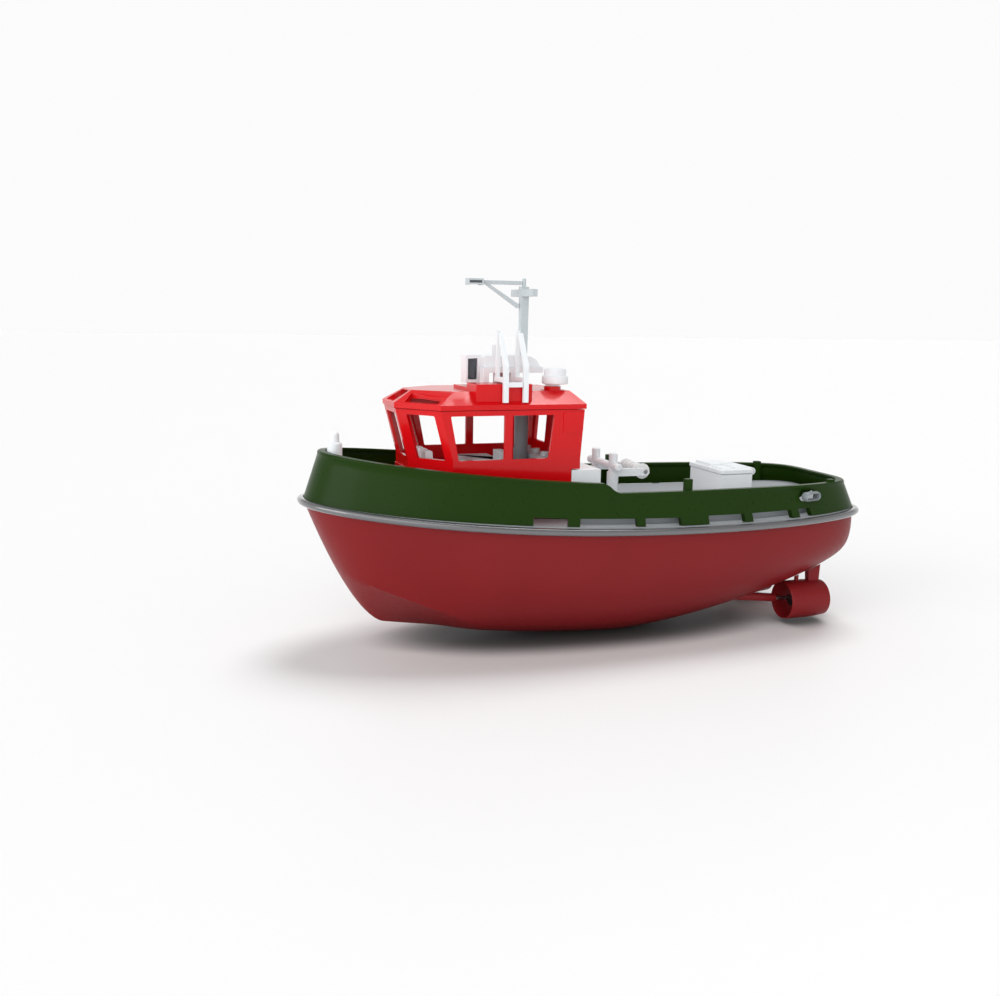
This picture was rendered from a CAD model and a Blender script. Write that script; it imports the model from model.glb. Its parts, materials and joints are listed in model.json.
"""A radio-controlled harbour tug in a plain studio.

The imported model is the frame. Each visible shell is built again here as a finer piece that replaces
its CAD node, from the same lines and in the same place. Sizes are in millimetres; the frame and the
meshes are in metres.
"""
import json
from math import atan2, cos, pi, radians, sin, sqrt

import bmesh
import bpy
from mathutils import Matrix, Vector


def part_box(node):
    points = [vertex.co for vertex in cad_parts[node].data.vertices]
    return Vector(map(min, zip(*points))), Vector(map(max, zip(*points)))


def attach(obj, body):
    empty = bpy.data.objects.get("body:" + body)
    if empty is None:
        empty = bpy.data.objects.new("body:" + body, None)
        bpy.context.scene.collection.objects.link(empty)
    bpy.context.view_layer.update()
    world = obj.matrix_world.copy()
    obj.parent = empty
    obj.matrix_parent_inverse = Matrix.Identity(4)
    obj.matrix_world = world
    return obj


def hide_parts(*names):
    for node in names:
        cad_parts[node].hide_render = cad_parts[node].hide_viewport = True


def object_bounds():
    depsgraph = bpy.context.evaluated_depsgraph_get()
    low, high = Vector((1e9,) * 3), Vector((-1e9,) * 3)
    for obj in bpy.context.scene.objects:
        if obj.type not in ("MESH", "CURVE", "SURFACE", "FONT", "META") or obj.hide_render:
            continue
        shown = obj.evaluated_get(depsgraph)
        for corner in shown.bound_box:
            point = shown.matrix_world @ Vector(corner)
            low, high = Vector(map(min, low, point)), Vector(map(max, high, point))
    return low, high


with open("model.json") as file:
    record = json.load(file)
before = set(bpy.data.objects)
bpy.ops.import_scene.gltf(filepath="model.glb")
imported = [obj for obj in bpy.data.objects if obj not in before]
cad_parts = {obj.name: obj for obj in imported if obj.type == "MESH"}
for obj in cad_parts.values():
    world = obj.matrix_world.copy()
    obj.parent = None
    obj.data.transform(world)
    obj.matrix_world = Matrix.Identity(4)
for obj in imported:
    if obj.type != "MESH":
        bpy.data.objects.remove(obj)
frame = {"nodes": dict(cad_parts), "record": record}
cad_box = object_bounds()

MM = 0.001


def extent(node):
    """The lowest and highest corner of a CAD node, in millimetres."""
    low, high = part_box(node)
    return Vector(low) / MM, Vector(high) / MM


# ---- the camera
LENS = 37.64
SENSOR = 36.0
CAMERA = {"azimuth": 160.497, "elevation": 10.099, "roll": 0.981, "distance": 502.476}
CAMERA_TARGET = Vector((45.93, 0.0, 66.38))


def make_camera():
    azimuth, elevation, roll = (radians(CAMERA[k]) for k in ("azimuth", "elevation", "roll"))
    back = Vector(
        (sin(azimuth) * cos(elevation), -cos(azimuth) * cos(elevation), sin(elevation))
    )
    right = Vector((0, 0, 1)).cross(back).normalized()
    up = back.cross(right)
    rolled_right = right * cos(roll) + up * sin(roll)
    rolled_up = up * cos(roll) - right * sin(roll)
    place = (CAMERA_TARGET + back * CAMERA["distance"]) * MM
    data = bpy.data.cameras.new("camera")
    data.lens = LENS
    data.sensor_width = SENSOR
    data.clip_start = 0.02
    data.clip_end = 40
    camera = bpy.data.objects.new("camera", data)
    turn = Matrix((rolled_right, rolled_up, back)).transposed().to_4x4()
    camera.matrix_world = Matrix.Translation(place) @ turn
    bpy.context.scene.collection.objects.link(camera)
    bpy.context.scene.camera = camera


make_camera()

# ---- materials
def node(tree, kind, **settings):
    """A new shader node, with attributes by name and inputs given as a dict under 'inputs'."""
    made = tree.nodes.new(kind)
    inputs = settings.pop("inputs", {})
    for key, value in settings.items():
        setattr(made, key, value)
    for key, value in inputs.items():
        if isinstance(value, bpy.types.NodeSocket):
            tree.links.new(value, made.inputs[key])
        else:
            made.inputs[key].default_value = value
    return made


def noise(tree, vector, scale, detail=3.0, roughness=0.5):
    inputs = {"Vector": vector, "Scale": scale, "Detail": detail, "Roughness": roughness}
    return node(tree, "ShaderNodeTexNoise", inputs=inputs).outputs["Fac"]


def spread(tree, value, low, high, from_low=0.3, from_high=0.7):
    """A value from the middle of a noise spread between two numbers."""
    inputs = {0: value, 1: from_low, 2: from_high, 3: low, 4: high}
    return node(tree, "ShaderNodeMapRange", clamp=True, inputs=inputs).outputs[0]


def shade_of(colour, factor):
    return tuple(min(1.0, c * factor) for c in colour[:3]) + (1.0,)


SLOTS = {}


def moulded(
    name, slot, colour, roughness=0.4, grain=0.35, mottle=0.06, metallic=0.0, coat=0.0,
    gleam=0.3, grain_scale=2600,
):
    """Moulded plastic, rubber or metal: mottled colour, uneven gloss and grain."""
    SLOTS[name] = slot
    material = bpy.data.materials.new(name)
    material.use_nodes = True
    tree = material.node_tree
    shader = tree.nodes["Principled BSDF"]
    shader.inputs["Metallic"].default_value = metallic
    shader.inputs["Coat Weight"].default_value = coat
    shader.inputs["Specular IOR Level"].default_value = gleam
    shader.inputs["Coat Roughness"].default_value = 0.12
    place = node(tree, "ShaderNodeTexCoord").outputs["Object"]
    broad = noise(tree, place, 28, 4)
    fine = noise(tree, place, 420, 3)
    dark, light = shade_of(colour, 1 - mottle), shade_of(colour, 1 + mottle)
    inputs = {0: spread(tree, broad, 0, 1), 6: dark, 7: light}
    tone = node(tree, "ShaderNodeMix", data_type="RGBA", inputs=inputs).outputs[2]
    tree.links.new(tone, shader.inputs["Base Color"])
    gloss = spread(tree, fine, roughness * 0.88, roughness * 1.12)
    tree.links.new(gloss, shader.inputs["Roughness"])
    grainy = noise(tree, place, grain_scale, 2)
    inputs = {"Strength": grain, "Distance": 0.00006, "Height": grainy}
    bump = node(tree, "ShaderNodeBump", inputs=inputs)
    tree.links.new(bump.outputs[0], shader.inputs["Normal"])
    return material


def relief(material, strength, depth, pattern):
    """Lays a pattern of relief under a material's grain."""
    tree = material.node_tree
    grain = tree.nodes["Principled BSDF"].inputs["Normal"].links[0].from_node
    inputs = {"Strength": strength, "Distance": depth, "Height": pattern}
    bump = node(tree, "ShaderNodeBump", inputs=inputs)
    tree.links.new(bump.outputs[0], grain.inputs["Normal"])
    return material


def ribbed(name, slot, colour, across, pitch, depth):
    """A surface with fine parallel ribs across one axis, such as wound rope."""
    material = moulded(name, slot, colour, 0.5)
    tree = material.node_tree
    place = node(tree, "ShaderNodeTexCoord").outputs["Object"]
    inputs = {"Vector": place, "Scale": 0.314 / (pitch * MM), "Distortion": 0.4}
    wave = node(tree, "ShaderNodeTexWave", bands_direction=across, inputs=inputs)
    return relief(material, 0.6, depth * MM, wave.outputs["Fac"])


def drawn_metal(name, slot, colour, roughness):
    """Bright metal with fine lines drawn round or along it."""
    material = moulded(name, slot, colour, roughness, metallic=1.0, grain=0.15)
    tree = material.node_tree
    place = node(tree, "ShaderNodeTexCoord").outputs["Object"]
    inputs = {"Vector": place, "Scale": (1, 1, 60)}
    stretched = node(tree, "ShaderNodeMapping", inputs=inputs).outputs[0]
    return relief(material, 0.25, 0.00004, noise(tree, stretched, 240, 2))


HULL_RED = moulded(
    "hull_red_plastic", "hull_red", (0.2, 0.0085, 0.0105), 0.4, mottle=0.03, grain=0.2, gleam=0.2
)
HOUSE_RED = moulded(
    "house_red_plastic", "house_red", (0.62, 0.003, 0.0055), 0.24,
    mottle=0.02, grain=0.1, gleam=0.1, coat=0.4,
)
GREEN = moulded(
    "bulwark_green_plastic", "bulwark_green", (0.0115, 0.035, 0.0022), 0.3,
    mottle=0.04, grain=0.03, gleam=0.09,
)
DECK = moulded(
    "deck_grey_plastic", "deck_grey", (0.36, 0.38, 0.4), 0.55, grain=0.6, grain_scale=1800
)
RUBBER = moulded(
    "fender_grey_rubber", "fender_grey", (0.095, 0.095, 0.102), 0.16,
    mottle=0.03, grain=0.05, gleam=0.8, coat=1.0,
)
WHITE = moulded("fitting_white_plastic", "fitting_white", (0.8, 0.83, 0.85), 0.36, mottle=0.015)
PALE = moulded("mast_grey_plastic", "mast_grey", (0.5, 0.55, 0.57), 0.42, mottle=0.02)
SLATE = moulded("slate_grey_plastic", "mast_grey", (0.2, 0.225, 0.24), 0.4, mottle=0.03)
BLACK = moulded("moulded_black", "black_plastic", (0.012, 0.012, 0.014), 0.45, mottle=0.1)
SMOKED = moulded("smoked_pane", "dark_glass", (0.05, 0.062, 0.075), 0.12, grain=0.02, coat=0.6)
STEEL = drawn_metal("bright_steel", "steel", (0.55, 0.56, 0.58), 0.28)
BRASS = drawn_metal("drawn_brass", "brass", (0.6, 0.4, 0.14), 0.3)
ROPE = ribbed("drum_rope", "fitting_white", (0.78, 0.79, 0.78), "Y", 1.1, 0.5)
BLUE = moulded("battery_sleeve", "battery_blue", (0.03, 0.085, 0.36), 0.25, coat=0.3)
BOARD = moulded("circuit_board", "board_green", (0.014, 0.16, 0.045), 0.35, mottle=0.15)
SEAL = moulded("black_rubber", "seal_rubber", (0.015, 0.015, 0.015), 0.65)
IRON = moulded("cast_weight", "ballast_iron", (0.12, 0.13, 0.14), 0.6, grain=0.8, metallic=0.6)


# ---- shapes
def link(name, mesh):
    made = bpy.data.objects.new(name, mesh)
    bpy.context.scene.collection.objects.link(made)
    return made


SIDES = ((1, "port"), (-1, "starboard"))
WELD = 0.001


def clean(mesh):
    """Joins points that coincide, drops empty faces and turns every face outwards."""
    bm = bmesh.new()
    bm.from_mesh(mesh)
    bmesh.ops.remove_doubles(bm, verts=bm.verts, dist=WELD * MM)
    bmesh.ops.dissolve_degenerate(bm, dist=WELD * MM, edges=bm.edges)
    bmesh.ops.recalc_face_normals(bm, faces=bm.faces)
    bm.to_mesh(mesh)
    bm.free()


def from_faces(name, vertices, faces):
    mesh = bpy.data.meshes.new(name)
    mesh.from_pydata([Vector(v) * MM for v in vertices], [], faces)
    clean(mesh)
    return link(name, mesh)


def loft(name, rings, loop=False, capped=False, open_ring=False):
    """Skins equal rings of points; loop joins the last ring to the first."""
    size = len(rings[0])
    vertices = [p for ring in rings for p in ring]
    faces = []
    for i in range(len(rings) if loop else len(rings) - 1):
        here = i * size
        there = (i + 1) % len(rings) * size
        for j in range(size - 1 if open_ring else size):
            k = (j + 1) % size
            faces.append((here + j, there + j, there + k, here + k))
    if capped:
        end = (len(rings) - 1) * size
        faces.append(tuple(range(size)))
        faces.append(tuple(end + j for j in reversed(range(size))))
    return from_faces(name, vertices, faces)


def fillet(points, radius, steps=4):
    """A closed outline with each corner rounded by a curve through the corner's neighbours."""
    if not radius:
        return [Vector(p) for p in points]
    rounded = []
    for i, point in enumerate(points):
        corner = Vector(point)
        before = Vector(points[i - 1]) - corner
        after = Vector(points[(i + 1) % len(points)]) - corner
        reach = min(radius, before.length * 0.45, after.length * 0.45)
        start = corner + before.normalized() * reach
        stop = corner + after.normalized() * reach
        for k in range(steps + 1):
            t = k / steps
            rounded.append(start * (1 - t) ** 2 + corner * (2 * t * (1 - t)) + stop * t**2)
    return rounded


def placed(axis, point, depth):
    """A point of a flat outline put in space, with depth along the named axis."""
    u, v = point
    return {"x": (depth, u, v), "y": (u, depth, v), "z": (u, v, depth)}[axis]


def both_sides(near, far):
    """The span between two distances from the centreline, to port and to starboard."""
    return (near, far), (-far, -near)


def prism(name, axis, points, low, high, radius=0.0):
    """An outline carried along an axis; its corners may be rounded."""
    outline_points = fillet(points, radius)
    rings = [[placed(axis, p, depth) for p in outline_points] for depth in (low, high)]
    return loft(name, rings, capped=True)


def block(name, low, high):
    (x0, y0, z0), (x1, y1, z1) = low, high
    return prism(name, "z", [(x0, y0), (x1, y0), (x1, y1), (x0, y1)], z0, z1)


def turned(name, profile, centre=(0, 0, 0), axis="z", steps=48):
    """A profile of (radius, height) points turned about an axis through centre."""
    rings = []
    for i in range(steps):
        angle = 2 * pi * i / steps
        ring = []
        for radius, height in profile:
            u, v = radius * cos(angle), radius * sin(angle)
            point = {"x": (height, u, v), "y": (v, height, u), "z": (u, v, height)}[axis]
            ring.append(Vector(centre) + Vector(point))
        rings.append(ring)
    return loft(name, rings, loop=True, open_ring=profile[0] != profile[-1])


def rod(name, start, stop, radius, steps=24, rim=0.0):
    """A round bar between two points, with its rims rounded off."""
    start, stop = Vector(start), Vector(stop)
    length = (stop - start).length
    rim = min(rim, radius * 0.6, length * 0.4)
    profile = [(0, 0), (radius - rim, 0), (radius, rim)]
    profile += [(radius, length - rim), (radius - rim, length), (0, length)]
    made = turned(name, profile, steps=steps)
    turn = Vector((0, 0, 1)).rotation_difference(stop - start).to_matrix().to_4x4()
    made.data.transform(Matrix.Translation(start * MM) @ turn)
    return made


def bake(made):
    """Applies an object's modifiers to its mesh."""
    graph = bpy.context.evaluated_depsgraph_get()
    mesh = bpy.data.meshes.new_from_object(made.evaluated_get(graph))
    old = made.data
    made.modifiers.clear()
    made.data = mesh
    bpy.data.meshes.remove(old)
    return made


def boolean(made, operation, tools):
    for tool in tools:
        modifier = made.modifiers.new(operation, "BOOLEAN")
        modifier.operation = operation
        modifier.solver = "EXACT"
        modifier.object = tool
    bake(made)
    for tool in tools:
        bpy.data.objects.remove(tool)
    clean(made.data)
    return made


def cut(made, *tools):
    return boolean(made, "DIFFERENCE", tools)


def join(made, *others):
    return boolean(made, "UNION", others)


def gather(made, *others):
    """Puts the meshes of several objects into the first, with no cutting."""
    bm = bmesh.new()
    bm.from_mesh(made.data)
    for other in others:
        bm.from_mesh(other.data)
        bpy.data.objects.remove(other)
    bm.to_mesh(made.data)
    bm.free()
    return made


def soften(made, width=0.3, segments=3, angle=28):
    """Moulded edges: a small round on each corner, with flat faces kept flat."""
    bevel = made.modifiers.new("round", "BEVEL")
    bevel.width = width * MM
    bevel.segments = segments
    bevel.limit_method = "ANGLE"
    bevel.angle_limit = radians(angle)
    smooth(made, 35)
    weighted = made.modifiers.new("flat", "WEIGHTED_NORMAL")
    weighted.keep_sharp = True
    return made


def smooth(made, angle=30):
    for polygon in made.data.polygons:
        polygon.use_smooth = True
    made.data.set_sharp_from_angle(angle=radians(angle))
    return made


def piece(made, material, body, *nodes):
    """Gives a piece its material, its body and the CAD nodes that it stands for."""
    made.data.materials.clear()
    made.data.materials.append(material)
    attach(made, body)
    if nodes:
        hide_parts(*nodes)


# ---- hull lines
FENDER_LOW, FENDER_HIGH = extent("rubbing_fender")
LENGTH = FENDER_HIGH.x - FENDER_LOW.x
BEAM = FENDER_HIGH.y - FENDER_LOW.y
GAP = 0.3
HULL_INSET = 3.0
MIDDLE = 8.0
SOLE_DROP = 1.4
STATIONS = 190


def clamp01(t):
    return min(1.0, max(0.0, t))


def smoothstep(t):
    t = clamp01(t)
    return t * t * (3 - 2 * t)


def even(inset):
    return (inset, inset, inset)


def outline(angle, inset):
    """The fender's plan, pulled in by a distance at the bow, the sides and the stern."""
    bow, side, stern = inset
    c, s = cos(angle), sin(angle)
    forward = c >= 0
    end = LENGTH / 2 - bow if forward else -LENGTH / 2 + stern
    along = abs(c) ** (0.952 if forward else 0.957)
    out = 0.0 if abs(s) < 1e-9 else abs(s) ** (0.952 if forward else 0.37)
    return MIDDLE + (end - MIDDLE) * along, (1 if s >= 0 else -1) * (BEAM / 2 - side) * out


def angle_at(x, inset):
    """The plan angle at which the outline reaches a given x."""
    low, high = 0.0, pi
    for _ in range(50):
        middle = (low + high) / 2
        if outline(middle, inset)[0] > x:
            low = middle
        else:
            high = middle
    return low


def sheer(x):
    return 57.3 + 0.0405 * x + 0.00031 * x * x


def keel(x):
    forward = 12.1 * clamp01((x + 20) / 128) ** 1.8
    aft = 34.5 * clamp01((-10 - x) / 132.5) ** 1.53
    return forward + aft - SOLE_DROP


def rail_top(x):
    fore = 78.8 + 0.0588 * x + 0.00029 * x * x
    aft = 74.8 + 0.0106 * x
    return aft + (fore - aft) * smoothstep((x - 5) / 8)


DECK_LIFT = GAP / 2
DECK_THICK = 2.0


def deck_top(x):
    return sheer(x) + DECK_LIFT + DECK_THICK


CHINE = {"from": 60.0, "full": 100.0, "stem": 135.0}


def chine_share(xs):
    """Where the bow's chine crosses a section, as a share of the way from sheer to keel."""
    back = CHINE["stem"] - max(xs, CHINE["from"])
    return 0.372 + 0.0022 * back + 0.000028 * back**2


def hull_point(angle, share, inset):
    """A point of the hull: share is 0 at the sheer and 1 at the keel. The bow has a chine."""
    xs, ys = outline(angle, even(HULL_INSET + inset))
    fore = clamp01((xs - 30) / 112.5)
    aft = clamp01((-20 - xs) / 120)
    stern = clamp01((-100 - xs) / 42.5)
    xk = xs - 38.6 * fore**2 - 2.6 * stern**2
    top = sheer(xs) - GAP / 2
    bottom = keel(xk) + inset
    fullness = 2 / (2.16 - 0.12 * fore**1.5 + 0.68 * aft)

    def height_at(t):
        return 1 - sin(t * pi / 2) ** fullness

    def width_at(t):
        return 0.0 if t >= 1 else ys * cos(t * pi / 2) ** fullness

    weight = smoothstep((xs - CHINE["from"]) / (CHINE["full"] - CHINE["from"]))
    knuckle = chine_share(xs)
    chine_y, chine_h = width_at(knuckle), height_at(knuckle)
    height = max(height_at(share), 0.0)
    if share <= knuckle:
        flat = chine_y + (ys - chine_y) * (height - chine_h) / (1 - chine_h)
    else:
        flat = chine_y * height / chine_h
    y = width_at(share) + (flat - width_at(share)) * weight
    z = max(inset, bottom + (top - bottom) * height)
    return xk + (xs - xk) * height**0.62, y, z


def hull_shares(angle, girth):
    """Shares of the way down one section, with a row of points that runs along the chine."""
    xs, _ = outline(angle, even(HULL_INSET))
    weight = smoothstep((xs - CHINE["from"]) / (CHINE["full"] - CHINE["from"]))
    knuckle = chine_share(xs)
    shares = []
    for i in range(girth + 1):
        plain = i / girth
        drawn = 2 * knuckle * plain if plain <= 0.5 else knuckle + (1 - knuckle) * (2 * plain - 1)
        shares.append(plain + (drawn - plain) * weight)
    return shares


def hull_section(angle, inset, girth):
    """A whole section of the hull, down the port side and up the starboard."""
    port = [hull_point(angle, share, inset) for share in hull_shares(angle, girth)]
    return port + [(x, -y, z) for x, y, z in port[-2::-1]]


def stations(count=STATIONS):
    return [pi * i / count for i in range(count + 1)]


def belt(name, profile):
    """A ring round the boat; each profile point is an inset triple and a height function of x."""
    rings = []
    for i in range(2 * STATIONS):
        angle = pi * i / STATIONS
        ring = []
        for inset, height in profile:
            x, y = outline(angle, inset)
            ring.append((x, y, height(x)))
        rings.append(ring)
    return loft(name, rings, loop=True)


# ---- hull, fender, deck, bulwark
def make_hull():
    girth = 40
    wall = 1.8
    rings = []
    for angle in stations():
        rings.append(hull_section(angle, 0, girth) + hull_section(angle, wall, girth)[::-1])
    hull = loft("hull_moulding", rings)
    piece(smooth(hull, 20), HULL_RED, "hull", "hull_shell")


def make_fender():
    width = 2.7
    rise = 1.7
    steps = 14
    profile = []
    for i in range(steps + 1):
        angle = -pi / 2 + pi * i / steps
        out = width * cos(angle) ** 0.62 if 0 < i < steps else 0.0
        high = rise * sin(angle)
        profile.append((even(width - out), lambda x, high=high: sheer(x) + high))
    fender = belt("rubber_fender", profile)
    piece(smooth(fender, 60), RUBBER, "hull", "rubbing_fender")


PORTS = [
    (-24.4, -6.6, 3.6), (-2.4, 24.4, 3.6), (29.8, 45.0, 3.6), (-58.0, -38.7, 4.0),
    (-85.0, -62.4, 4.0), (-96.5, -89.4, 4.0),
]
STAYS = ((-31.5, 5.2), (-118.0, 1.2))
RAIL_INSET = (10.0, 5.3, 9.2)
RAIL_WIDTH = 3.2
RAIL_DEPTH = 1.3
BULWARK_WALL = 1.8


def bulwark_section(angle, foot_lift, port_height):
    """One section of the bulwark, from its outer foot over the rail to its inner foot."""
    middle_x, _ = outline(angle, RAIL_INSET)
    foot = deck_top(middle_x) + GAP
    top = rail_top(middle_x)
    under = top - RAIL_DEPTH

    def at(inward, z):
        share = clamp01((z - foot) / (top - foot))
        inset = tuple(HULL_INSET + inward + (rail - HULL_INSET) * share for rail in RAIL_INSET)
        x, y = outline(angle, inset)
        return x, y, z

    low = foot + foot_lift
    mark = foot + port_height
    lip = 0.35
    levels = [mark + (under - mark) * i / 5 for i in range(1, 6)]
    outer = [at(0, low), at(0, max(mark, low))] + [at(0, z) for z in levels[:-1]]
    rail = [
        at(0, under - 0.2), at(-0.3, under + 0.1), at(-0.3, top - lip), at(0.05, top),
        at(RAIL_WIDTH - lip, top), at(RAIL_WIDTH, top - lip), at(RAIL_WIDTH, under + 0.2),
        at(RAIL_WIDTH - 0.2, under), at(BULWARK_WALL, under),
    ]
    inner = [at(BULWARK_WALL, z) for z in reversed(levels[:-1])]
    inner += [at(BULWARK_WALL, max(mark, low)), at(BULWARK_WALL, low)]
    return outer + rail + inner


def port_at(x):
    """The freeing port at x, and the height of the nearest one."""
    inside = next((h for x0, x1, h in PORTS if x0 < x < x1), 0.0)
    nearest = min(PORTS, key=lambda p: max(p[0] - x, x - p[1]))
    return inside, nearest[2]


def make_bulwark():
    angles = set(stations())
    edges = {}
    for x0, x1, height in PORTS:
        for x, opens in ((x1, True), (x0, False)):
            edges[angle_at(x, RAIL_INSET)] = (opens, height)
    half = []
    for angle in sorted(angles | set(edges)):
        x, _ = outline(angle, RAIL_INSET)
        if angle in edges:
            opens, height = edges[angle]
            full = bulwark_section(angle, 0.0, height)
            short = bulwark_section(angle, height, height)
            half += [full, short] if opens else [short, full]
            continue
        inside, nearest = port_at(x)
        half.append(bulwark_section(angle, inside, nearest))
    other = [[(x, -y, z) for x, y, z in ring] for ring in reversed(half)]
    shell = loft("bulwark_moulding", half + other, loop=True)
    stays = []
    for x, above in STAYS:
        _, reach = outline(angle_at(x, even(7.2)), even(7.2))
        for inner, outer in both_sides(reach - 3.5, reach - 0.1):
            low = (x - 1.7, inner, deck_top(x) + 0.5)
            stays.append(block("stay", low, (x + 1.7, outer, rail_top(x) + above - 0.1)))
    holes = [chock_slot(hand, 5.7, 2.6, 8) for hand in (1, -1)]
    cut(shell, *holes)
    for stay in stays:
        bake(soften(stay, 0.35))
    gather(shell, *stays)
    piece(smooth(shell, 38), GREEN, "hull", "bulwark")


CHOCK = {"x": -99.5, "y": 43.6, "z": 68.5, "turn": 14.0}


def slot_outline(half, rise, steps=12):
    """An oblong with round ends, wide along x and high along z."""
    points = []
    for i in range(2 * steps):
        fore = i < steps
        angle = pi * i / (steps - 1) - pi / 2 if fore else pi * (i - steps) / (steps - 1) + pi / 2
        centre = half - rise if fore else rise - half
        points.append((centre + rise * cos(angle), rise * sin(angle)))
    return points


def turn_chock(made, hand):
    turn = Matrix.Rotation(radians(hand * CHOCK["turn"]), 4, "Z")
    shift = Matrix.Translation(Vector((CHOCK["x"], hand * CHOCK["y"], CHOCK["z"])) * MM)
    made.data.transform(shift @ turn)
    return made


def chock_slot(hand, half, rise, depth):
    made = prism("slot", "y", slot_outline(half, rise), -depth / 2, depth / 2)
    return turn_chock(made, hand)


def make_fairleads():
    for hand, side in SIDES:
        rings = []
        tube = 0.62
        depth = 1.5
        for angle in (2 * pi * i / 16 for i in range(16)):
            grow = tube * cos(angle)
            depth_here = depth * sin(angle) * (1 + 0.25 * abs(sin(angle)))
            rings.append([(u, depth_here, v) for u, v in slot_outline(4.75 + grow, 1.7 + grow, 14)])
        ring = turn_chock(loft(f"{side}_fairlead_ring", rings, loop=True), hand)
        piece(smooth(ring, 70), SLATE, "hull", f"{side}_fairlead")


SKYLIGHT = {"low": 114.2, "high": 118.7, "x": 90.5, "y": 20, "turn": 40.4}
HATCH = {"x0": 30.0, "x1": 74.0, "half": 20.0}


def sheer_plate(name, inset, low, high):
    """A plate that follows the sheer inside an outline, between two heights above it."""
    rings = []
    for angle in stations():
        x, y = outline(angle, even(inset))
        z = sheer(x)
        rings.append([(x, y, z + low), (x, -y, z + low), (x, -y, z + high), (x, y, z + high)])
    return loft(name, rings, capped=True)


WORK_DECK = {"inset": 11.3, "fore": 21.3, "rise": 5.2, "wall": 1.8}


def work_deck(name, low, grow=0.0, drop=0.0):
    """The raised working deck behind the wheelhouse."""
    top = DECK_LIFT + DECK_THICK + WORK_DECK["rise"] + grow - drop
    made = sheer_plate(name, WORK_DECK["inset"] - grow, low, top)
    return cut(made, block("ahead", (WORK_DECK["fore"] + grow, -60, 0), (160, 60, 120)))


def below_deck():
    """Everything under the deck's upper faces, for trimming what stands on them."""
    low = []
    for angle in stations(60):
        x, y = outline(angle, even(0.3))
        z = deck_top(x) + GAP
        low.append([(x, y, -5), (x, -y, -5), (x, -y, z), (x, y, z)])
    return join(loft("below", low, capped=True), work_deck("raised", 0.0, GAP))


def make_deck():
    deck = sheer_plate("deck_plate", 3.3, DECK_LIFT, DECK_LIFT + DECK_THICK)
    under = work_deck("under", -2.2, -WORK_DECK["wall"], 0.2)
    join(deck, work_deck("raised", DECK_LIFT))
    well = block("well", (HATCH["x0"], -HATCH["half"], 50), (HATCH["x1"], HATCH["half"], 80))
    low, high = extent("power_switch_body")
    opening = block("opening", (low.x - GAP, low.y - GAP, 50), (high.x + GAP, high.y + GAP, 80))
    cut(deck, under, well, opening)
    piece(soften(deck, 0.3, 2), DECK, "hull", "main_deck")


make_hull()
make_fender()
make_bulwark()
make_deck()
make_fairleads()

# ---- wheelhouse
HOUSE = {"half": 29.5, "front_half": 11.0, "wall": 1.5, "notch": 84.0, "sill": 89.0, "eave": 111.3}
LEVELS = {"low": (95.0, 78.5, 21.9), "sill": (94.5, 78.5, 17.6), "eave": (100.2, 84.3, 16.0)}
WINDOW_LOW, WINDOW_HIGH = 89.3, 109.0
WINDOW_ROUND = 0.7


def house_plan(level, inset=0.0):
    front, shoulder, aft = LEVELS[level]
    half = HOUSE["half"] - inset
    front_half = HOUSE["front_half"] - inset * 0.4
    shoulder_x = shoulder - inset * 0.4
    port = [(front - inset, front_half), (shoulder_x, half), (aft + inset, half)]
    return port + [(x, -y) for x, y in reversed(port)]


def house_block(name, low, low_z, high, high_z, inset):
    ends = ((low, low_z), (high, high_z))
    rings = [[(x, y, z) for x, y in house_plan(level, inset)] for level, z in ends]
    return loft(name, rings, capped=True)


def house_solid(name, inset, bottom, top):
    notch = HOUSE["notch"] + inset
    sill, eave = HOUSE["sill"], HOUSE["eave"]
    made = house_block(name, "low", bottom, "low", notch + 0.01, inset)
    return join(
        made,
        house_block("b", "sill", notch, "sill", sill + 0.01, inset),
        house_block("c", "sill", sill, "eave", eave, inset),
        house_block("d", "eave", eave - 0.01, "eave", top, inset),
    )


CUTTER_REACH = 4.0


def corner_window(hand, start, stop):
    """A rounded cutter through one sloping corner face."""
    def corner(z, share):
        t = (z - HOUSE["sill"]) / (HOUSE["eave"] - HOUSE["sill"])
        front = LEVELS["sill"][0] + (LEVELS["eave"][0] - LEVELS["sill"][0]) * t
        back = LEVELS["sill"][1] + (LEVELS["eave"][1] - LEVELS["sill"][1]) * t
        y = HOUSE["front_half"] + (HOUSE["half"] - HOUSE["front_half"]) * share
        return Vector((front + (back - front) * share, hand * y, z))
    corners = [
        corner(WINDOW_LOW, start), corner(WINDOW_LOW, stop), corner(WINDOW_HIGH, stop),
        corner(WINDOW_HIGH, start),
    ]
    outwards = Vector((0.76, hand * 0.65, 0)) * CUTTER_REACH
    rounded = fillet(corners, WINDOW_ROUND)
    rings = [[p - outwards for p in rounded], [p + outwards for p in rounded]]
    return loft("corner", rings, capped=True)


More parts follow.
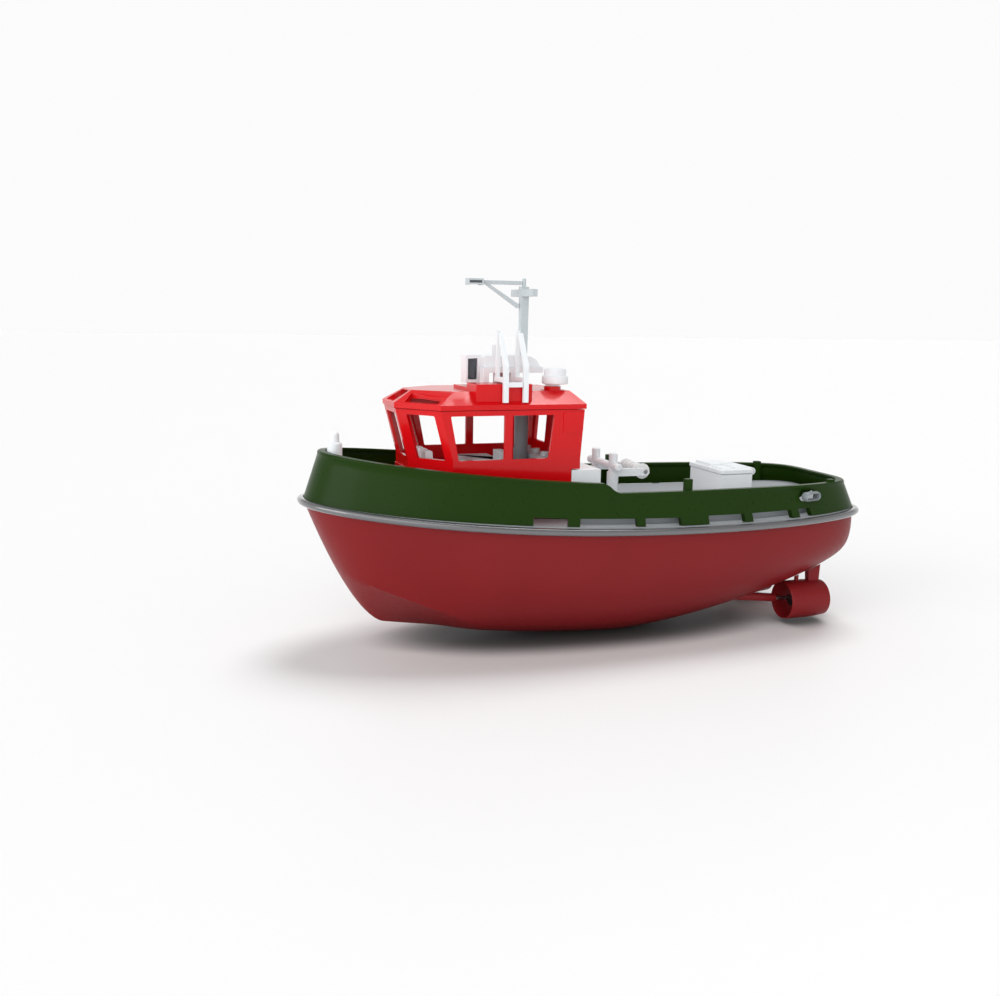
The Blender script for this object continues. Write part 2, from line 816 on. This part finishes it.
def make_wheelhouse():
    shell = house_solid("wheelhouse_shell", 0.0, 55, HOUSE["eave"])
    low, high = WINDOW_LOW, WINDOW_HIGH
    sides = [
        [(54.6, low), (75.9, low), (79.7, high), (54.6, high)],
        [(33.1, low), (50.8, low), (50.8, high), (30.7, high)],
    ]
    cutters = [prism("side", "y", points, -40, 40, WINDOW_ROUND) for points in sides]
    cutters += [corner_window(hand, 0.22, 0.83) for hand in (1, -1)]
    front = [(-8.2, low), (8.2, low), (8.2, high), (-8.2, high)]
    cutters.append(prism("front", "x", front, 85, 110, WINDOW_ROUND))
    for y0, y1 in both_sides(12, 26):
        aft = [(y0, low + 2), (y1, low + 2), (y1, high - 2), (y0, high - 2)]
        cutters.append(prism("aft", "x", aft, 10, 20.4, WINDOW_ROUND))
    cut(shell, house_solid("hollow", HOUSE["wall"], 50, HOUSE["eave"] + 5), *cutters)
    half = HOUSE["half"]
    panels = []
    for y0, y1 in both_sides(half - 0.5, half + 0.5):
        outline_points = [(16.9, 100.7), (26.5, 100.7), (26.5, 110.4), (16.4, 110.4)]
        panels.append(prism("panel", "y", outline_points, y0, y1, 0.8))
    join(shell, *panels)
    cut(shell, below_deck())
    piece(soften(shell, 0.28, 2), HOUSE_RED, "superstructure", "wheelhouse")


ROOF = {
    "fascia": 2.2, "overhang": 0.6, "top": 119.2, "skin": 1.6, "aft": 4.4, "side": 9.8, "fore": 9.0
}
PLINTH = {
    "x0": 41.2, "x1": 67.6, "half": 20.0, "inner": -7.0, "face": 27.5, "low": 112.0, "top": 120.6
}
STEP = {"inner": 13.6, "top": 122.8}
COLUMN = {"x": 35.8, "radius": 3.3, "top": 121.0}
LIP = {"seat": 1.2, "outer": 2.2, "inner": 3.4, "depth": 1.4, "rise": 1.6}
RADOME = {
    "x": 26.4, "y": 15.0, "radius": 6.1, "cap": 5.2, "disc_x": 25.2, "neck": 3.4, "flange": 5.4
}
ROOF_FOOT = HOUSE["eave"] + GAP


def roof_ring(level, skin=0.0):
    low = ROOF_FOOT + ROOF["fascia"]
    z = low + level * (ROOF["top"] - low)
    ring = []
    for x, y in house_plan("eave", skin or -ROOF["overhang"]):
        along = x + ROOF["aft"] * level if x < 50 else x - ROOF["fore"] * level
        share = 1 - ROOF["side"] * level / HOUSE["half"]
        ring.append((along, y * share, z - skin))
    return ring


def roof_body(name):
    foot = [(x, y, ROOF_FOOT) for x, y, _ in roof_ring(0)]
    return loft(name, [foot, roof_ring(0), roof_ring(1)], capped=True)


def plinth_body(name, grow=0.0):
    """The block on the port side of the roof that the aerial frames stand against."""
    x0, x1, low = PLINTH["x0"] - grow, PLINTH["x1"] + grow, PLINTH["low"]
    core = block(name, (x0, PLINTH["inner"], low), (x1, PLINTH["half"], PLINTH["top"] + grow))
    far = (x1, PLINTH["face"] + grow, STEP["top"] + grow)
    return join(core, block("step", (x0, STEP["inner"] - grow, low), far))


def house_plate(name, inset, low, high):
    return prism(name, "z", house_plan("eave", inset), low, high)


def roof_lip():
    """The lip that drops inside the house and closes the joint under the roof."""
    rise = ROOF_FOOT + LIP["rise"]
    seat = house_plate("lip", LIP["seat"], ROOF_FOOT, rise)
    join(seat, house_plate("drop", LIP["outer"], HOUSE["eave"] - LIP["depth"], rise))
    return cut(seat, house_plate("inside", LIP["inner"], 100, 120))


def make_roof():
    roof = roof_body("roof_moulding")
    x, y = RADOME["x"], RADOME["y"]
    flange = rod("flange", (x, y, 114), (x, y, 119.4), RADOME["flange"], steps=40)
    neck = rod("neck", (x, y, 114), (x, y, 121), RADOME["neck"] + 0.5, steps=32)
    join(roof, plinth_body("plinth"), flange, neck)
    skin = ROOF["skin"]
    hollow_foot = [(x, y, 100) for x, y, _ in roof_ring(0, skin)]
    hollow = loft("hollow", [hollow_foot, roof_ring(0, skin), roof_ring(1, skin)], capped=True)
    z0, z1 = SKYLIGHT["low"], SKYLIGHT["high"]
    lights = [(-6.4, z0), (6.4, z0), (5.6, z1), (-5.6, z1)]
    cutters = [hollow, prism("light", "x", lights, 90, 110, 0.5)]
    for hand in (1, -1):
        corners = [(-9, z0), (9, z0), (9, z1), (-9, z1)]
        window = prism("light", "y", corners, -5.6, 5.6, 0.5)
        turn = Matrix.Rotation(radians(hand * (SKYLIGHT["turn"] - 90)), 4, "Z")
        place = Vector((SKYLIGHT["x"], hand * SKYLIGHT["y"], 0)) * MM
        window.data.transform(Matrix.Translation(place) @ turn)
        cutters.append(window)
    x, radius = COLUMN["x"], COLUMN["radius"] + GAP
    cutters.append(rod("column", (x, 0, 105), (x, 0, 130), radius, steps=40))
    cut(roof, *cutters)
    join(roof, roof_lip())
    piece(soften(roof, 0.35, 3, 20), HOUSE_RED, "superstructure", "wheelhouse_roof")


FLOOR_TOP = extent("bridge_floor")[1].z + GAP


def make_cabin():
    plan = house_plan("low", HOUSE["wall"] + GAP)
    low, high = extent("bridge_floor")
    floor = prism("cabin_floor", "z", plan, low.z, high.z, 0.6)
    piece(soften(floor, 0.25), DECK, "superstructure", "bridge_floor")

    desk_outline = [(76, FLOOR_TOP), (88, FLOOR_TOP), (88, 84.4), (84, 86.4), (76, 85)]
    desk = prism("helm_desk", "y", desk_outline, -13, 13, 0.5)
    screens = []
    for y in (-8, 0, 8):
        outline_points = [(82, 84.6), (86, 84.6), (86, 91.4), (82.6, 91.4)]
        screens.append(prism("screen", "y", outline_points, y - 2.2, y + 2.2, 0.4))
    join(desk, *screens)
    piece(soften(desk, 0.25), WHITE, "superstructure", "bridge_console")

    seat = block("cabin_bench", (46, -21, FLOOR_TOP), (65, 21, 85.4))
    arm = block("arm", (49.2, 10, FLOOR_TOP), (53.4, 21, 91.6))
    groove = [block("groove", (46.5, y - 0.3, 84.8), (70, y + 0.3, 90)) for y in (-7, 7)]
    join(seat, arm)
    cut(seat, *groove)
    piece(soften(seat, 0.4), PALE, "superstructure", "bridge_bench")

    fore = COLUMN["x"] - COLUMN["radius"] - GAP
    cabinet = block("cabin_cabinet", (24, -20, FLOOR_TOP), (fore, 20, 88))
    dials = [rod("dial", (28, y, 87.5), (28, y, 90), 2, steps=32) for y in (-12, 0, 12)]
    join(cabinet, *dials)
    piece(soften(cabinet, 0.25), PALE, "superstructure", "bridge_cabinet")

    x, radius = COLUMN["x"], COLUMN["radius"]
    foot, head = (x, 0, FLOOR_TOP), (x, 0, COLUMN["top"])
    column = rod("cabin_column", foot, head, radius, steps=40, rim=0.2)
    piece(smooth(column, 40), SLATE, "superstructure", "mast_column")


make_wheelhouse()
make_roof()
make_cabin()

# ---- roof gear
LAMP = {"x0": 57.4, "x1": 65.0, "half": 4.0, "low": 121.8, "top": 134.6}
PLATFORM = {"x0": 30.4, "x1": 58.2, "half": 13.0, "low": 127.0, "top": 129.8, "house_x": 58.6}
FRAMES = {"aft": 45.1, "forward": 54.5}
FRAME_HALF = 1.15
FIN_HALF = 0.8


def make_platform():
    x0, x1, half = PLATFORM["x0"], PLATFORM["x1"], PLATFORM["half"]
    low, top = PLATFORM["low"], PLATFORM["top"]
    plate = block("radar_deck", (x0, -half, low), (x1, half, top))
    outline_points = [
        (x0 + 1, top - 0.2), (PLATFORM["house_x"], top - 0.2), (PLATFORM["house_x"], 134.4),
        (x0 + 6, 134.4), (x0 + 3, 133),
    ]
    parts = [prism("housing", "y", outline_points, 1.2 - half, half - 1.2, 0.4)]
    foot = PLINTH["top"] + GAP
    for y0, y1 in both_sides(7, half):
        parts.append(block("foot", (42, y0, foot), (46, y1, low + 0.2)))
        parts.append(block("foot", (x1 - 1.4, y0, foot), (x1 + 1.2, y1, top - 0.6)))
    parts.append(block("stub", (52.8, 9.4, 134), (55.2, 11.6, 139.6)))
    join(plate, *parts)
    bay_low = (LAMP["x0"] - GAP, -LAMP["half"] - GAP, 120)
    bay = block("bay", bay_low, (70, LAMP["half"] + GAP, 140))
    socket = block("socket", (33.4, -2, 132), (38.2, 2, 140))
    seams = [block("seam", (x, -20, 133.9), (x + 0.5, 20, 140)) for x in (42.5, 50.5)]
    cut(plate, bay, socket, *seams)
    piece(soften(plate, 0.3), WHITE, "superstructure", "radar_platform")


def make_frame(name, x, cad_node, tie=None):
    """An aerial frame: a strap up the port side, a leaning horn and an inner fin."""
    aft, fore = x - FRAME_HALF, x + FRAME_HALF
    horn = [(28.4, 123), (30.2, 123), (30.2, 131), (21.8, 145.2), (20.9, 145.2), (28.4, 130.2)]
    cross = [(16.8, 123.6), (28.6, 123.6), (28.6, 125.6), (16.8, 125.6)]
    fin = [(16.8, 123.6), (19, 123.6), (19, 145.2), (18.4, 146.4), (17.8, 146.4)]
    made = prism(name, "x", horn, aft, fore, 0.3)
    parts = [
        prism("crosspiece", "x", cross, aft, fore),
        prism("fin", "x", fin, x - FIN_HALF, x + FIN_HALF),
        block("strap", (aft, 28.4, 114.8), (fore, 30.2, 125)),
    ]
    if tie:
        parts.append(block("tie", *tie))
    join(made, *parts)
    cut(made, plinth_body("plinth_room", GAP))
    piece(soften(made, 0.22), WHITE, "superstructure", cad_node)


def make_searchlight():
    x0, x1, half, low, top = (LAMP[k] for k in ("x0", "x1", "half", "low", "top"))
    shell = block("searchlight_box", (x0, -half, low), (x1, half, top))
    fore, head = x1 - 0.9, top - 1.4
    window = [(x0 + 2, low + 1.6), (fore, low + 1.6), (fore, head), (x0 + 2, head)]
    cut(shell, prism("window", "y", window, -half - 1, half + 1, 0.4))
    piece(soften(shell, 0.4), WHITE, "superstructure", "searchlight_housing")
    near, far = (x0 + 2.3, 1 - half, low + 1.9), (x1 - 1.2, half - 1, top - 1.7)
    pane = block("searchlight_pane", near, far)
    piece(soften(pane, 0.2), SMOKED, "superstructure", "searchlight_lens")


def make_radome():
    x, y, radius, neck, cap = (RADOME[k] for k in ("x", "y", "radius", "neck", "cap"))
    profile = [
        (0, 122), (radius - 0.5, 122), (radius - 0.1, 122.2), (radius, 122.6), (radius, 125.3),
        (radius - 0.1, 125.6), (radius - 0.4, 125.8), (cap, 125.8), (cap, 128.5),
        (cap - 0.2, 129), (cap - 0.7, 129.2), (0, 129.2),
    ]
    disc = turned("radome_drum", profile, (RADOME["disc_x"], y, 0), steps=64)
    join(disc, rod("neck", (x, y, 121.3), (x, y, 122.4), neck, steps=48))
    piece(smooth(disc, 35), WHITE, "superstructure", "radome")


def make_mast():
    x = COLUMN["x"]
    foot, head, stub = 132.4, 166.2, 170.0
    post_outline = [(x - 1.7, foot), (x + 1.7, foot), (x + 2.1, head), (x - 2.1, head)]
    post = prism("mast_post", "y", post_outline, -1.5, 1.5)
    tree = block("tree", (x - 1.4, -14.2, 161.6), (x + 1.4, 14.2, 165))
    join(post, tree, rod("stub", (x, 0, 165), (x, 0, stub), 0.9, rim=0.3))
    piece(soften(post, 0.3), PALE, "superstructure", "mast")
    yard = block("mast_yard", (x + 1.4, -0.9, 166.9), (56.2, 0.9, 168.7))
    brace_outline = [(38.3, 156.6), (39.2, 156.2), (55.6, 167.2), (53.4, 167.2), (38.3, 158)]
    join(yard, prism("brace", "y", brace_outline, -0.8, 0.8))
    piece(soften(yard, 0.2), PALE, "superstructure", "mast_arm")
    lamp = block("mast_lantern", (56.5, -2.6, 166.4), (63.8, 2.6, 169.4))
    grooves = [block("slot", (57.6, -3, 166.2), (63, 3, 166.8))]
    for y0, y1 in both_sides(2.2, 3):
        grooves.append(block("groove", (57.2, y0, 167.4), (63.2, y1, 168.6)))
    cut(lamp, *grooves)
    piece(soften(lamp, 0.2), PALE, "superstructure", "mast_lamp")
    glass = block("mast_lantern_glass", (57.3, -2.4, 167.5), (63.1, 2.4, 168.5))
    piece(smooth(glass), SMOKED, "superstructure")


make_platform()
make_frame("aft_aerial", FRAMES["aft"], "aft_antenna_frame")
frame_tie = ((FRAMES["aft"] + FRAME_HALF + GAP, 28.4, 121.6), (FRAMES["forward"], 29.8, 123.8))
make_frame("forward_aerial", FRAMES["forward"], "forward_antenna_frame", frame_tie)
make_searchlight()
make_radome()
make_mast()

# ---- deck fittings
DRUM = {"x": -25.0, "z": 78.4, "half": 9.6, "flange": 3.8, "core": 2.7, "bore": 1.1}


def make_winch_house():
    low, high = extent("winch_house")
    shell = block("winch_deckhouse", (low.x, low.y, 55), high)
    door = block("door", (low.x - 1, -6, 64), (low.x + 0.25, 6, 80))
    cut(shell, below_deck(), door)
    piece(soften(shell, 0.45), WHITE, "hull", "winch_house")


def make_winch():
    """Two towing posts joined by a bar, with arms that reach aft to the drum's spindle."""
    x = -8.5
    made = rod("towing_posts", (x, -17, 81.6), (x, 17, 81.6), 1.9, steps=28, rim=0.5)
    parts = []
    for y in (10, -10):
        parts.append(rod("post", (x, y, 60), (x, y, 88), 2.1, steps=32, rim=0.5))
        parts.append(rod("post", (x, y, 60), (x, y, 79), 2.8, steps=32, rim=0.3))
    side = [(x, 76.8), (x, 80.6), (-24, 80.2), (-26.6, 79.6), (-27.4, 78), (-26, 76.6)]
    for y0, y1 in both_sides(10.6, 12.6):
        parts.append(prism("arm", "y", side, y0, y1, 0.8))
    join(made, *parts)
    bore = rod("bore", (DRUM["x"], -20, DRUM["z"]), (DRUM["x"], 20, DRUM["z"]), DRUM["bore"])
    cut(made, below_deck(), bore)
    piece(soften(made, 0.22, 2), WHITE, "hull", "winch_frame")


def make_drum():
    half, flange, core, bore = (DRUM[k] for k in ("half", "flange", "core", "bore"))
    profile = [(bore, -half), (flange - 0.3, -half), (flange, 0.3 - half), (flange, 0.9 - half)]
    profile.append((flange - 0.3, 1.2 - half))
    turns = 12
    pitch = 2 * (half - 1.2) / turns
    for i in range(turns):
        start = 1.2 - half + i * pitch
        for k in range(5):
            t = k / 4
            profile.append((core + 0.62 * sin(pi * t) ** 0.7, start + pitch * (0.04 + 0.92 * t)))
    profile += [(flange - 0.3, half - 1.2), (flange, half - 0.9), (flange, half - 0.3)]
    profile += [(flange - 0.3, half), (bore, half), (bore, -half)]
    drum = turned("towing_drum_body", profile, (DRUM["x"], 0, DRUM["z"]), "y", 48)
    piece(smooth(drum, 40), ROPE, "towing_drum", "winch_drum")


def make_bitt():
    x = 125.5
    foot = deck_top(x) + GAP
    profile = [
        (0, foot - 2), (4.6, foot - 2), (4.6, foot + 1.2), (4.3, foot + 1.6), (3.6, foot + 2.2),
        (3.4, foot + 2.8), (3.4, 94.6), (3.2, 95), (2.5, 95.4), (2.2, 95.8), (2.2, 98.6),
        (2, 99.2), (1.4, 99.9), (0.6, 100.2), (0, 100.2),
    ]
    post = turned("bow_bitt_post", profile, (x, 0, 0), steps=48)
    join(post, rod("pin", (x, -7, 88), (x, 7, 88), 1, rim=0.4))
    cut(post, below_deck())
    piece(smooth(post, 40), WHITE, "hull", "bow_bitt")


BOX = {"x0": -83.8, "x1": -66.0, "half": 15.5, "wall": 1.3, "top": 76.0}
HINGE = {"x": -86.2, "z": 76.6, "bore": 1.15, "barrel": 1.9}


def make_deck_box():
    x0, x1, half, wall, top = (BOX[k] for k in ("x0", "x1", "half", "wall", "top"))
    x, z, bore, barrel = (HINGE[k] for k in ("x", "z", "bore", "barrel"))
    shell = block("deck_box_shell", (x0, -half, 55), (x1, half, top))
    cut(shell, block("hollow", (x0 + wall, wall - half, 50), (x1 - wall, half - wall, top + 5)))
    lugs = []
    for hand in (1, -1):
        near, far = hand * 8.6, hand * 11.6
        low, high = sorted((near, far))
        lugs.append(block("lug", (x, low, z - barrel), (x0 + 0.2, high, z - 0.7)))
        lugs.append(rod("lug", (x, near, z), (x, far, z), barrel, steps=28))
    join(shell, *lugs)
    cut(shell, rod("bore", (x, -13, z), (x, 13, z), bore), below_deck())
    piece(soften(shell, 0.35), WHITE, "hull", "deck_box")

    lid_low = (x0 - 0.3, -half - 0.6, top + GAP)
    lid = block("deck_box_cover", lid_low, (x1 + 0.5, half + 0.6, top + 2.2))
    relief = block("relief", (x - 3, -8.5, 70), (x0 + 0.4, 8.5, top + GAP + 3))
    cut(lid, relief)
    hatches = [
        ((-82, -13), (-75.6, -1), 3.2), ((-82, 1), (-75.6, 13), 3.2),
        ((-73.8, -13), (-67.4, 2), 3.6), ((-73.8, 4), (-67.4, 13), 2.9),
    ]
    parts = [block("hatch", (*low, top + 2), (*high, top + lift)) for low, high, lift in hatches]
    parts.append(rod("knuckle", (x, -8.2, z), (x, 8.2, z), barrel, steps=28))
    parts.append(block("tongue", (x, -8.2, z + 0.7), (x0 + 1.5, 8.2, z + barrel - 0.3)))
    join(lid, *parts)
    cut(lid, rod("bore", (x, -12, z), (x, 12, z), bore))
    piece(soften(lid, 0.35), WHITE, "box_lid", "deck_box_lid")


make_winch_house()
make_winch()
make_drum()
make_bitt()
make_deck_box()

# ---- nozzles and drivelines
DRIVE = {"x": -109.0, "y": 25.0, "z": 11.4, "tilt": radians(6.5)}
NOZZLE = {"front": 9.5, "back": -13.5, "outer": 9.8, "inner": 8.9}
PROPELLER = {"radius": 8.3, "hub": 2.1, "blades": 3, "pitch": 20.0}


def on_shaft(made, hand):
    """Puts a piece drawn along +X from the propeller onto one shaft."""
    turn = Matrix.Rotation(-DRIVE["tilt"], 4, "Y")
    shift = Matrix.Translation(Vector((DRIVE["x"], hand * DRIVE["y"], DRIVE["z"])) * MM)
    made.data.transform(shift @ turn)
    return made


def make_nozzle(hand, side):
    front, back, outer, inner = (NOZZLE[k] for k in ("front", "back", "outer", "inner"))
    profile = [
        (inner, back), (outer - 0.75, back), (outer - 0.25, back * 0.6), (outer, back * 0.2),
        (outer, front - 1.4), (outer - 0.12, front - 0.5), (outer - 0.4, front),
        (inner + 0.4, front), (inner + 0.12, front - 0.6), (inner, front - 2), (inner, back),
    ]
    centre = (DRIVE["x"], hand * DRIVE["y"], DRIVE["z"])
    ring = turned(f"{side}_nozzle_ring", profile, centre, "x", 72)
    x, y, z = centre
    strut_outline = [(x - 11, z + 9.2), (x - 5, z + 9.2), (x - 3, z + 30), (x - 12, z + 30)]
    strut = prism("strut", "y", strut_outline, y - 1.6, y + 1.6)
    guard = rod("guard", (x + 1.5, y, z + 9.4), (x + 1.5, y, z + 24), 1.1, steps=20)
    join(ring, strut, guard)
    cut(ring, hull_envelope())
    piece(smooth(ring, 35), HULL_RED, "hull", f"{side}_nozzle")


def hull_envelope():
    """The hull's outer body with a small clearance, closed at the sheer."""
    made = loft("envelope", [hull_section(angle, -GAP, 24) for angle in stations(90)])
    bm = bmesh.new()
    bm.from_mesh(made.data)
    bmesh.ops.holes_fill(bm, edges=[e for e in bm.edges if e.is_boundary], sides=0)
    bmesh.ops.recalc_face_normals(bm, faces=bm.faces)
    bm.to_mesh(made.data)
    bm.free()
    return made


def blade(hand):
    """One blade: a twisted leaf from the hub to the tip, with a rounded outline."""
    steps = 12
    across = 8
    radius = PROPELLER["radius"]
    rings = []
    for i in range(steps + 1):
        share = i / steps
        r = 1.4 + (radius - 1.4) * share
        chord = (2.1 + 2.3 * sin(pi * (share * 0.83 + 0.14))) * sqrt(max(1 - share**6, 0.06))
        angle = atan2(PROPELLER["pitch"], 2 * pi * max(r, 2.4))
        ring = []
        for k in range(2 * across):
            turn = 2 * pi * k / (2 * across)
            u = chord * cos(turn)
            t = (0.5 - 0.25 * share) * sin(turn)
            x = u * sin(angle) + t * cos(angle)
            y = hand * (u * cos(angle) - t * sin(angle))
            ring.append((x, y, r))
        rings.append(ring)
    return loft("blade", rings, capped=True)


def make_propeller(hand, side):
    hub = PROPELLER["hub"]
    profile = [(0, -4.4), (0.7, -4.2), (1.3, -3.6), (1.9, -2.2)]
    profile += [(hub, -1.4), (hub, 1.9), (1.8, 2.2), (0, 2.2)]
    made = turned(f"{side}_screw", profile, axis="x", steps=32)
    count = PROPELLER["blades"]
    blades = []
    for i in range(count):
        one = blade(hand)
        one.data.transform(Matrix.Rotation(2 * pi * i / count, 4, "X"))
        blades.append(one)
    join(made, *blades)
    on_shaft(made, hand)
    piece(smooth(made, 45), BLACK, f"{side}_driveline", f"{side}_propeller")


def make_driveline(hand, side):
    shaft = on_shaft(rod(f"{side}_shaft", (2.5, 0, 0), (57, 0, 0), 1, steps=28, rim=0.15), hand)
    piece(smooth(shaft, 40), STEEL, f"{side}_driveline", f"{side}_prop_shaft")
    profile = [(1.3, 14), (1.9, 14), (2.1, 14.3), (2.1, 50), (1.3, 50), (1.3, 14)]
    tube = on_shaft(turned(f"{side}_shaft_tube", profile, axis="x", steps=40), hand)
    piece(smooth(tube, 40), HULL_RED, "hull", f"{side}_stern_tube")


for hand_sign, side_name in SIDES:
    make_nozzle(hand_sign, side_name)
    make_propeller(hand_sign, side_name)
    make_driveline(hand_sign, side_name)

# ---- carried-over CAD nodes
CARRIED = {SLOTS[m.name]: m for m in (STEEL, BRASS, BLACK, BLUE, BOARD, SEAL, IRON, DECK)}
for subpart in frame["record"]["subparts"]:
    cad = frame["nodes"][subpart["node"]]
    material = CARRIED.get(subpart["material_slot"])
    if material:
        for place in cad.material_slots:
            place.material = material

# ---- floor, light
FLOOR_SIZE = 12.0
CONTACT = {"reach": 20, "closed": 0.2, "open": 0.9, "dark": 0.1, "paper": 0.86}


def make_floor():
    half = FLOOR_SIZE / 2 / MM
    cells = 8
    points = [-half + 2 * half * i / cells for i in range(cells + 1)]
    rings = [[(x, y, 0) for y in points] for x in points]
    floor = loft("studio_floor", rings, open_ring=True)
    floor.location.z = cad_box[0][2] - 0.0004
    material = bpy.data.materials.new("studio_paper")
    material.use_nodes = True
    tree = material.node_tree
    shader = tree.nodes["Principled BSDF"]
    inputs = {"Color": (1, 1, 1, 1), "Distance": CONTACT["reach"] * MM}
    near = node(tree, "ShaderNodeAmbientOcclusion", samples=16, inputs=inputs).outputs["AO"]
    levels = [CONTACT[k] for k in ("closed", "open", "dark", "paper")]
    inputs = dict(enumerate([near, *levels]))
    paper = node(tree, "ShaderNodeMapRange", interpolation_type="SMOOTHSTEP", inputs=inputs)
    tree.links.new(paper.outputs[0], shader.inputs["Base Color"])
    shader.inputs["Roughness"].default_value = 0.55
    floor.data.materials.append(material)


HORIZON = 0.97
SKY = 0.42
SOFTBOXES = {
    "overhead": {"towards": (-0.28, -0.26, 0.92), "strength": 1.45, "spread": 27},
    "bow": {"towards": (0.94, 0.24, 0.24), "strength": 1.0, "spread": 40},
    "fill": {"towards": (0.5, 0.68, 0.53), "strength": 1.0, "spread": 60},
}


def make_softbox(name):
    """One broad softbox: which way it stands, how bright and how wide it is."""
    box = SOFTBOXES[name]
    data = bpy.data.lights.new(name, "SUN")
    data.energy = box["strength"]
    data.angle = radians(box["spread"])
    lamp = bpy.data.objects.new(name, data)
    lamp.rotation_euler = Vector(box["towards"]).to_track_quat("Z", "Y").to_euler()
    bpy.context.scene.collection.objects.link(lamp)


def make_world():
    """A white horizon under a dimmer sky."""
    world = bpy.data.worlds.new("studio_world")
    world.use_nodes = True
    tree = world.node_tree
    direction = node(tree, "ShaderNodeTexCoord").outputs["Generated"]
    height = node(tree, "ShaderNodeSeparateXYZ", inputs={0: direction}).outputs["Z"]
    ramp = node(tree, "ShaderNodeValToRGB", inputs={0: height})
    stops = ramp.color_ramp.elements
    levels = ((0.0, HORIZON), (0.3, HORIZON), (0.45, SKY), (1.0, SKY))
    while len(stops) < len(levels):
        stops.new(0.5)
    for stop, (at, level) in zip(stops, levels):
        stop.position = at
        stop.color = (level, level, level, 1)
    tree.links.new(ramp.outputs["Color"], tree.nodes["Background"].inputs["Color"])
    bpy.context.scene.world = world


make_floor()
make_world()
for softbox in SOFTBOXES:
    make_softbox(softbox)
bpy.context.scene.view_settings.view_transform = "Standard"

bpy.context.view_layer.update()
